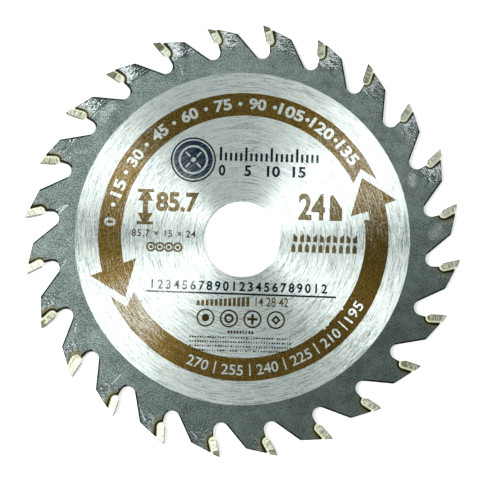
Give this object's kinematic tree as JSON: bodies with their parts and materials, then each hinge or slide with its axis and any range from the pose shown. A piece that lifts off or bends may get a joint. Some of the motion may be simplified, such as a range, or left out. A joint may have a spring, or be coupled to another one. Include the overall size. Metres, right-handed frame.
{
  "type": "circular saw blade",
  "caption": "Small round saw blade: flat steel plate with a plain arbor bore, brazed carbide teeth with alternate top bevel, round gullets and a brushed centre.",
  "frame": {"origin": "on the arbor axis, in the plane of the surface that the blade lies on, which its tips touch", "axes": "+Z along the arbor, out of the printed face; seen from +Z the cutting faces point anticlockwise; +X is to the right and +Y is up in the print"},
  "size_m": [0.0852, 0.0852, 0.0017],
  "materials": {
    "plate_steel": "ground in rings round the bore on the inside, grit-blasted matt on the toothed rim",
    "tip_carbide": "diamond-ground sintered carbide, satin",
    "braze_alloy": "as-flowed silver braze, smooth"
  },
  "bodies": {
    "root": {"blade_plate": "plate_steel", "carbide_tip_01": "tip_carbide", "carbide_tip_02": "tip_carbide", "carbide_tip_03": "tip_carbide", "carbide_tip_04": "tip_carbide", "carbide_tip_05": "tip_carbide", "carbide_tip_06": "tip_carbide", "carbide_tip_07": "tip_carbide", "carbide_tip_08": "tip_carbide", "carbide_tip_09": "tip_carbide", "carbide_tip_10": "tip_carbide", "carbide_tip_11": "tip_carbide", "carbide_tip_12": "tip_carbide", "carbide_tip_13": "tip_carbide", "carbide_tip_14": "tip_carbide", "carbide_tip_15": "tip_carbide", "carbide_tip_16": "tip_carbide", "carbide_tip_17": "tip_carbide", "carbide_tip_18": "tip_carbide", "carbide_tip_19": "tip_carbide", "carbide_tip_20": "tip_carbide", "carbide_tip_21": "tip_carbide", "carbide_tip_22": "tip_carbide", "carbide_tip_23": "tip_carbide", "carbide_tip_24": "tip_carbide", "braze_seam_01": "braze_alloy", "braze_seam_02": "braze_alloy", "braze_seam_03": "braze_alloy", "braze_seam_04": "braze_alloy", "braze_seam_05": "braze_alloy", "braze_seam_06": "braze_alloy", "braze_seam_07": "braze_alloy", "braze_seam_08": "braze_alloy", "braze_seam_09": "braze_alloy", "braze_seam_10": "braze_alloy", "braze_seam_11": "braze_alloy", "braze_seam_12": "braze_alloy", "braze_seam_13": "braze_alloy", "braze_seam_14": "braze_alloy", "braze_seam_15": "braze_alloy", "braze_seam_16": "braze_alloy", "braze_seam_17": "braze_alloy", "braze_seam_18": "braze_alloy", "braze_seam_19": "braze_alloy", "braze_seam_20": "braze_alloy", "braze_seam_21": "braze_alloy", "braze_seam_22": "braze_alloy", "braze_seam_23": "braze_alloy", "braze_seam_24": "braze_alloy"}
  },
  "joints": []
}
